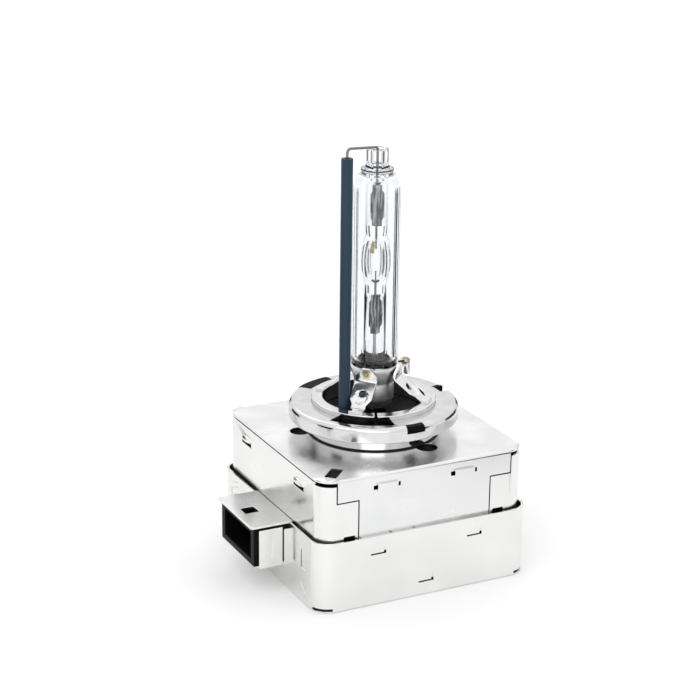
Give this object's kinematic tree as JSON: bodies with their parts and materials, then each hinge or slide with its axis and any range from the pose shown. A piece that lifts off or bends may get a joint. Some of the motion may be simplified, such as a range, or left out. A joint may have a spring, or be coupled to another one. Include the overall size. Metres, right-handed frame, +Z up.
{
  "type": "gas-discharge headlight bulb",
  "caption": "Gas-discharge headlight bulb: a quartz burner with a side return lead, on a stamped cap ring over a square sheet-metal igniter box with a side connector.",
  "frame": {"origin": "on the burner's axis, in the plane of the cap ring's upper face, which is the face that seats against the lamp holder", "axes": "+Z runs up along the burner, away from the igniter box; the connector points towards -X and its mouth faces -X; the two folded flaps of the cover face +Y and -Y"},
  "size_m": [0.0527, 0.045, 0.0825],
  "materials": {
    "box_steel": "bright satin, tin-plated or stainless sheet",
    "ring_steel": "polished stamped stainless steel",
    "holder_steel": "bright rolled strip with heat-tinted spot welds",
    "connector_plastic": "moulded black thermoplastic",
    "insulator_plastic": "moulded black high-temperature plastic",
    "pin_metal": "tin-plated brass",
    "seal_rubber": "black silicone",
    "dark_cement": "dark fired cement, slightly glossy",
    "envelope_quartz": "clear fused quartz",
    "arc_tube_quartz": "clear fused quartz",
    "molybdenum": "grey rolled molybdenum",
    "tungsten": "dark tungsten",
    "halide_deposit": "yellow salt deposit",
    "sleeve_ceramic": "slate-blue glazed ceramic, satin",
    "lead_nickel": "bright nickel wire",
    "board_laminate": "green epoxy-glass laminate",
    "potting_rubber": "dark cast compound",
    "ferrite": "dark grey ferrite",
    "bobbin_plastic": "natural moulded plastic",
    "copper": "enamelled or tinned copper",
    "capacitor_plastic": "dipped film capacitor",
    "gap_ceramic": "white ceramic body"
  },
  "bodies": {
    "root": {"lower_tray": "box_steel", "upper_cover": "box_steel", "side_wall_left": "box_steel", "side_wall_right": "box_steel", "connector_top_shield": "box_steel", "connector_side_shield": "box_steel", "connector_housing": "connector_plastic", "connector_pins": "pin_metal", "cap_ring": "ring_steel", "holder_band": "holder_steel", "base_insulator": "insulator_plastic", "neck_gasket": "seal_rubber", "support_leg_front": "holder_steel", "support_leg_right": "holder_steel", "support_leg_rear": "holder_steel", "support_leg_left": "holder_steel", "burner_collar": "holder_steel", "collar_clamp_ear": "holder_steel", "burner_seat": "dark_cement", "outer_envelope": "envelope_quartz", "arc_tube": "arc_tube_quartz", "upper_foil": "molybdenum", "lower_foil": "molybdenum", "upper_electrode": "tungsten", "lower_electrode": "tungsten", "lower_lead": "molybdenum", "halide_salts": "halide_deposit", "ceramic_sleeve": "sleeve_ceramic", "return_wire": "lead_nickel", "carrier_frame": "insulator_plastic", "circuit_board": "board_laminate", "potting_layer": "potting_rubber", "transformer_core": "ferrite", "transformer_bobbin": "bobbin_plastic", "secondary_winding": "copper", "primary_winding": "copper", "ignition_capacitor": "capacitor_plastic", "spark_gap": "gap_ceramic", "bleed_resistor": "gap_ceramic", "high_voltage_contact": "copper", "return_terminal": "copper"}
  },
  "joints": []
}
